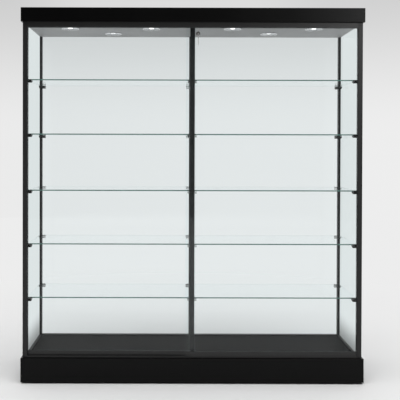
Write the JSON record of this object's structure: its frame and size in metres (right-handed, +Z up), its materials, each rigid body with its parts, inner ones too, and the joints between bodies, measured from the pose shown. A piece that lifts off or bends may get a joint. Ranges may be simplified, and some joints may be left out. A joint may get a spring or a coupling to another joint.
{
  "type": "rolling display showcase",
  "caption": "Tall glazed display showcase on hidden swivel casters, with glass shelves in two bays, sliding glass doors, a plunger lock and downlights in a black canopy.",
  "frame": {"origin": "on the floor, under the middle of the whole showcase's bounding box", "axes": "+Z up, the doors and the lock face -Y, +X to the right seen from the front"},
  "size_m": [1.816, 0.5124, 1.989],
  "materials": {
    "black_board": "semi-gloss black laminate",
    "deck_board": "satin black laminate",
    "ceiling_laminate": "matt grey laminate",
    "raw_board": "plain fibreboard",
    "black_frame": "satin black coating",
    "clear_glass": "clear float glass",
    "shelf_glass": "clear glass, polished green edges",
    "black_clips": "moulded black",
    "clear_clips": "moulded clear",
    "lamp_chrome": "polished",
    "lamp_lens": "frosted diffuser",
    "lamp_can": "spun",
    "seal_rubber": "matt",
    "nylon": "turned nylon",
    "lock_chrome": "polished",
    "key_metal": "nickel plated",
    "caster_zinc": "zinc plated",
    "caster_tread": "grey rubber"
  },
  "bodies": {
    "case": {"base_front_board": "black_board", "base_rear_board": "black_board", "base_end_boards": "black_board", "canopy_front_board": "black_board", "canopy_rear_board": "black_board", "canopy_end_boards": "black_board", "canopy_top_board": "black_board", "deck_panel": "deck_board", "ceiling_board": "ceiling_laminate", "base_top_board": "raw_board", "caster_blocks": "raw_board", "canopy_ribs": "raw_board", "front_left_post": "black_frame", "front_right_post": "black_frame", "rear_left_post": "black_frame", "rear_right_post": "black_frame", "bottom_rails": "black_frame", "top_rails": "black_frame", "front_bottom_track": "black_frame", "front_top_track": "black_frame", "front_centre_post": "black_frame", "rear_centre_bar": "black_frame", "left_side_pane": "clear_glass", "right_side_pane": "clear_glass", "rear_left_pane": "clear_glass", "rear_right_pane": "clear_glass", "shelf_pair_1": "shelf_glass", "shelf_pair_2": "shelf_glass", "shelf_pair_3": "shelf_glass", "shelf_pair_4": "shelf_glass", "shelf_pair_5": "shelf_glass", "corner_shelf_clips": "black_clips", "cable_gland": "black_clips", "centre_shelf_clips": "clear_clips", "downlight_bezels": "lamp_chrome", "downlight_lenses": "lamp_lens", "downlight_cans": "lamp_can", "door_seals": "seal_rubber", "caster_plates": "caster_zinc"},
    "outer_door": {"outer_door_glass": "clear_glass", "outer_door_shoe": "black_frame", "lock_housing": "lock_chrome"},
    "inner_door": {"inner_door_glass": "clear_glass", "inner_door_shoe": "black_frame"},
    "outer_left_roller": {"outer_left_roller": "nylon"},
    "outer_right_roller": {"outer_right_roller": "nylon"},
    "inner_left_roller": {"inner_left_roller": "nylon"},
    "inner_right_roller": {"inner_right_roller": "nylon"},
    "lock_plunger": {"lock_plunger": "lock_chrome"},
    "lock_plug": {"lock_plug": "lock_chrome", "lock_key": "key_metal"},
    "spare_key": {"spare_key_on_ring": "key_metal"},
    "front_left_fork": {"front_left_caster_fork": "caster_zinc"},
    "front_left_wheel": {"front_left_caster_wheel": "caster_tread"},
    "front_right_fork": {"front_right_caster_fork": "caster_zinc"},
    "front_right_wheel": {"front_right_caster_wheel": "caster_tread"},
    "rear_left_fork": {"rear_left_caster_fork": "caster_zinc"},
    "rear_left_wheel": {"rear_left_caster_wheel": "caster_tread"},
    "rear_right_fork": {"rear_right_caster_fork": "caster_zinc"},
    "rear_right_wheel": {"rear_right_caster_wheel": "caster_tread"}
  },
  "joints": [
    {"name": "outer_door_slide", "type": "slide", "parent": "case", "child": "outer_door", "axis": [-1, 0, 0], "range_m": [0, 0.836]},
    {"name": "inner_door_slide", "type": "slide", "parent": "case", "child": "inner_door", "axis": [1, 0, 0], "range_m": [0, 0.856]},
    {"name": "outer_left_roller_turn", "type": "hinge", "parent": "outer_door", "child": "outer_left_roller", "pos_m": [0.0432, -0.2077, 0.145], "axis": [0, -1, 0], "continuous": true},
    {"name": "outer_right_roller_turn", "type": "hinge", "parent": "outer_door", "child": "outer_right_roller", "pos_m": [0.7932, -0.2077, 0.145], "axis": [0, -1, 0], "continuous": true},
    {"name": "inner_left_roller_turn", "type": "hinge", "parent": "inner_door", "child": "inner_left_roller", "pos_m": [-0.7932, -0.1959, 0.145], "axis": [0, 1, 0], "continuous": true},
    {"name": "inner_right_roller_turn", "type": "hinge", "parent": "inner_door", "child": "inner_right_roller", "pos_m": [-0.0632, -0.1959, 0.145], "axis": [0, 1, 0], "continuous": true},
    {"name": "lock_push", "type": "slide", "parent": "outer_door", "child": "lock_plunger", "axis": [0, 1, 0], "range_m": [0, 0.009]},
    {"name": "key_turn", "type": "hinge", "parent": "lock_plunger", "child": "lock_plug", "pos_m": [0.0272, -0.2232, 1.854], "axis": [0, 1, 0], "range_deg": [0, 90]},
    {"name": "spare_key_swing", "type": "hinge", "parent": "lock_plug", "child": "spare_key", "pos_m": [0.0272, -0.2442, 1.8528], "axis": [-1, 0, 0], "range_deg": [0, 60]},
    {"name": "front_left_swivel", "type": "hinge", "parent": "case", "child": "front_left_fork", "pos_m": [-0.78, -0.1043, 0.092], "axis": [0, 0, 1], "continuous": true},
    {"name": "front_left_spin", "type": "hinge", "parent": "front_left_fork", "child": "front_left_wheel", "pos_m": [-0.81, -0.1043, 0.0375], "axis": [0, 1, 0], "continuous": true},
    {"name": "front_right_swivel", "type": "hinge", "parent": "case", "child": "front_right_fork", "pos_m": [0.78, -0.1043, 0.092], "axis": [0, 0, 1], "continuous": true},
    {"name": "front_right_spin", "type": "hinge", "parent": "front_right_fork", "child": "front_right_wheel", "pos_m": [0.75, -0.1043, 0.0375], "axis": [0, 1, 0], "continuous": true},
    {"name": "rear_left_swivel", "type": "hinge", "parent": "case", "child": "rear_left_fork", "pos_m": [-0.78, 0.1257, 0.092], "axis": [0, 0, 1], "continuous": true},
    {"name": "rear_left_spin", "type": "hinge", "parent": "rear_left_fork", "child": "rear_left_wheel", "pos_m": [-0.81, 0.1257, 0.0375], "axis": [0, 1, 0], "continuous": true},
    {"name": "rear_right_swivel", "type": "hinge", "parent": "case", "child": "rear_right_fork", "pos_m": [0.78, 0.1257, 0.092], "axis": [0, 0, 1], "continuous": true},
    {"name": "rear_right_spin", "type": "hinge", "parent": "rear_right_fork", "child": "rear_right_wheel", "pos_m": [0.75, 0.1257, 0.0375], "axis": [0, 1, 0], "continuous": true}
  ],
  "couplings": [
    {"joint": "outer_left_roller_turn", "follows": "outer_door_slide", "rad_per_m": 142.86},
    {"joint": "outer_right_roller_turn", "follows": "outer_door_slide", "rad_per_m": 142.86},
    {"joint": "inner_left_roller_turn", "follows": "inner_door_slide", "rad_per_m": 142.86},
    {"joint": "inner_right_roller_turn", "follows": "inner_door_slide", "rad_per_m": 142.86}
  ]
}
